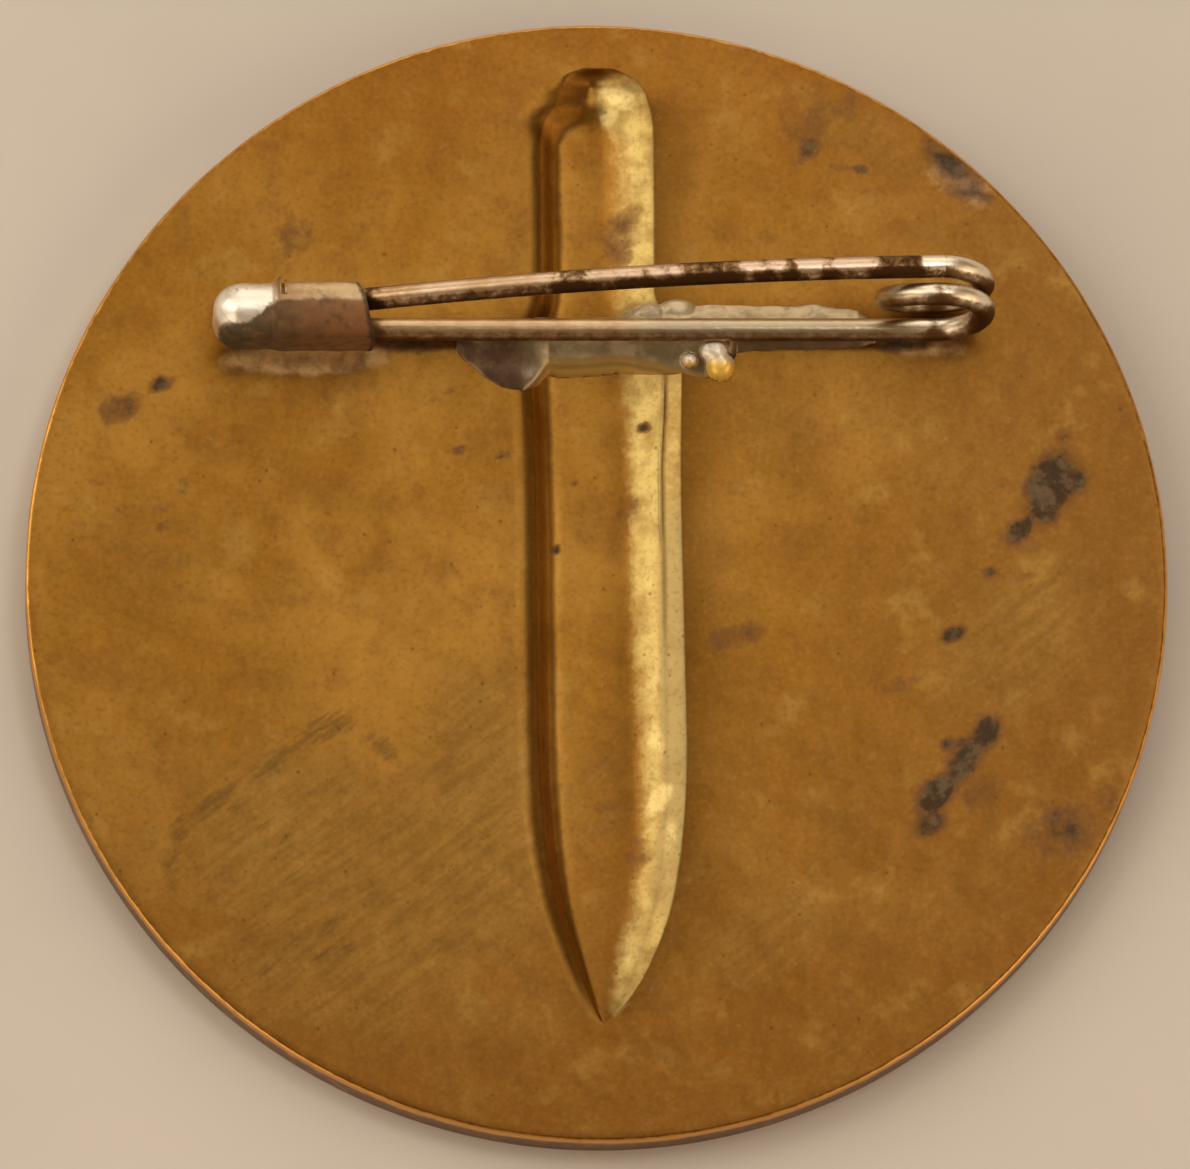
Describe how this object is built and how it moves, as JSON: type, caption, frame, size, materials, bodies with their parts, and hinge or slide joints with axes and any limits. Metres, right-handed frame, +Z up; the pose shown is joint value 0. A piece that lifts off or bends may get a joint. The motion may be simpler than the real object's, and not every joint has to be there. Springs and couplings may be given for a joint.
{
  "type": "commemorative badge",
  "caption": "Round struck bronze badge, back side up, with a sunken blade and grip, and a soldered safety pin with coil, hood and needle that swings open.",
  "frame": {"origin": "centre of the disc on the surface that its front rim rests on, which is the bottom centre of the whole badge", "axes": "+Z up out of the back, through the disc's thickness; +Y towards the round end of the blade's grip; +X to the right as seen on the back, from the hood to the coil"},
  "size_m": [0.032, 0.032, 0.0055],
  "materials": {
    "bronze": "struck bronze, worn satin with brown patina and dark stains",
    "pin_steel": "drawn steel wire with dulled plating, and grey soft solder",
    "hood_nickel": "pressed sheet with worn nickel plating",
    "needle_steel": "drawn steel wire, plating worn through in brown patches"
  },
  "bodies": {
    "badge": {"disc": "bronze", "pin_wire": "pin_steel", "clasp_hood": "hood_nickel"},
    "needle": {"pin_arm": "needle_steel"}
  },
  "joints": [
    {"name": "needle_swing", "type": "hinge", "parent": "badge", "child": "needle", "pos_m": [0.00962, 0.0082, 0.0048], "axis": [0.9913, 0.045, -0.1236], "range_deg": [0, 170]}
  ]
}
